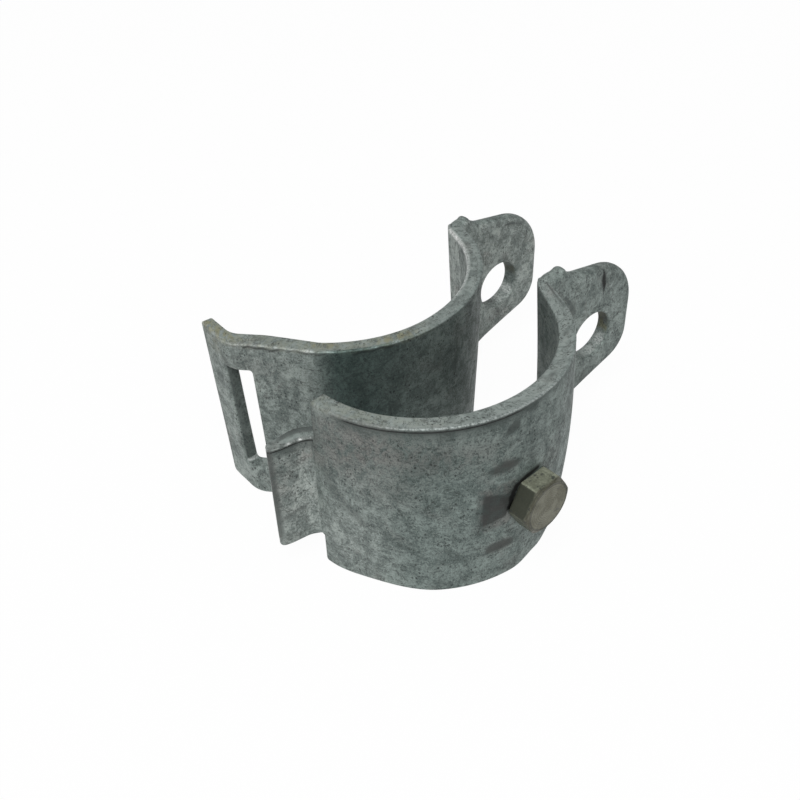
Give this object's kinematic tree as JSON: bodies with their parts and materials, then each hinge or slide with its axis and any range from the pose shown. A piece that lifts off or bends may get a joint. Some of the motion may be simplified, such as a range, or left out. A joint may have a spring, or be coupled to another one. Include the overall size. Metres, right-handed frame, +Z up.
{
  "type": "fence post collar",
  "caption": "Open clamping collar for a round fence post: a tongued half, a slotted half, a lug with a bolt hole on each, and a hexagon-head set screw.",
  "frame": {"origin": "on the post axis of the slotted half, in the floor plane that both halves stand on with their lower edges", "axes": "+Z up along the post axes, +X from the post towards the lugs, +Y to the rear, away from the tongue half, along the bolt holes"},
  "size_m": [0.113, 0.078, 0.05],
  "materials": {
    "front_bar": "hot-dip galvanised, dull and mottled, with dark pits",
    "rear_bar": "hot-dip galvanised, dull and mottled, with dark pits",
    "screw": "zinc plated, dulled olive"
  },
  "bodies": {
    "root": {"tongue_half": "front_bar", "slotted_half": "rear_bar", "set_screw": "screw"}
  },
  "joints": []
}
